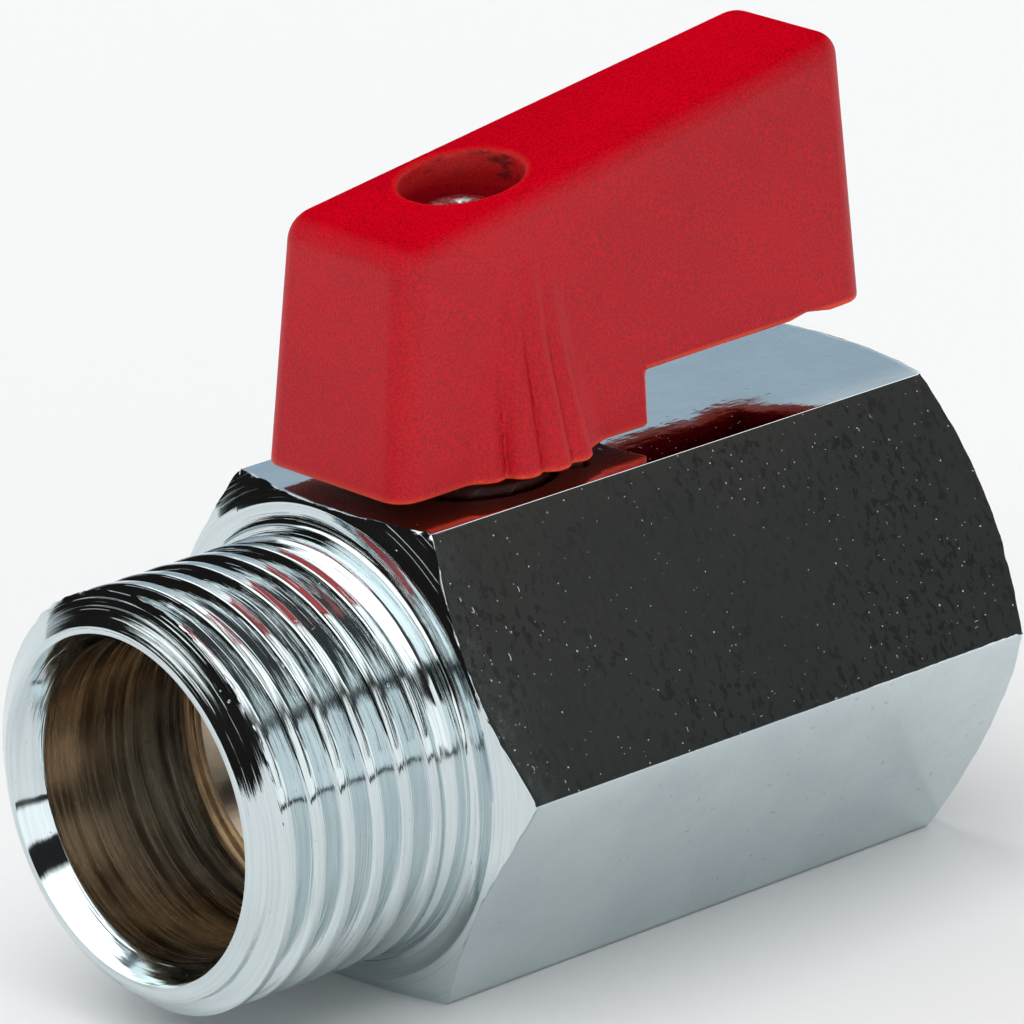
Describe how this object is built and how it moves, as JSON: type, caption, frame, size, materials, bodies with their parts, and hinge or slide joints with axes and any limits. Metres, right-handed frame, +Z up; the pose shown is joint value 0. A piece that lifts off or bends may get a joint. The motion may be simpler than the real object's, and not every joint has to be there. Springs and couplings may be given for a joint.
{
  "type": "mini ball valve",
  "caption": "Small quarter-turn ball valve for gas or water, with a chromed hexagonal body, a male and a female pipe thread, and a short one-sided plastic lever.",
  "frame": {"origin": "foot of the stem's axis on the lower flat of the hexagon, straight below the centre of the ball; the flow axis lies 12 mm above it", "axes": "+X along the flow from the male end to the female end, +Z up the stem's axis towards the lever, +Y to the left when looking along +X"},
  "size_m": [0.0469, 0.0276, 0.0412],
  "materials": {
    "chromed_brass": "bright chrome plate over hot-forged brass on the outside; bare turned brass inside the bores",
    "bare_brass": "bare turned brass with fine tool marks",
    "polished_chrome": "polished hard chrome on the ball",
    "white_ptfe": "waxy white PTFE",
    "black_rubber": "matt black nitrile rubber",
    "red_plastic": "fine-grained matt red moulded nylon",
    "zinc_steel": "bright zinc-plated steel"
  },
  "bodies": {
    "valve": {"valve_body": "chromed_brass", "seat_retainer": "bare_brass", "seat_male_side": "white_ptfe", "seat_female_side": "white_ptfe", "stem_thrust_washer": "white_ptfe"},
    "lever": {"lever_handle": "red_plastic", "handle_screw": "zinc_steel", "stem": "bare_brass", "stem_o_ring_lower": "black_rubber", "stem_o_ring_upper": "black_rubber"},
    "ball": {"ball": "polished_chrome"}
  },
  "joints": [
    {"name": "lever_turn", "type": "hinge", "parent": "valve", "child": "lever", "pos_m": [0, 0, 0.012], "axis": [0, 0, 1], "range_deg": [-90, 0]},
    {"name": "ball_turn", "type": "hinge", "parent": "valve", "child": "ball", "pos_m": [0, 0, 0.012], "axis": [0, 0, 1], "range_deg": [-90, 0]}
  ],
  "couplings": [
    {"joint": "ball_turn", "follows": "lever_turn", "ratio": 1}
  ]
}
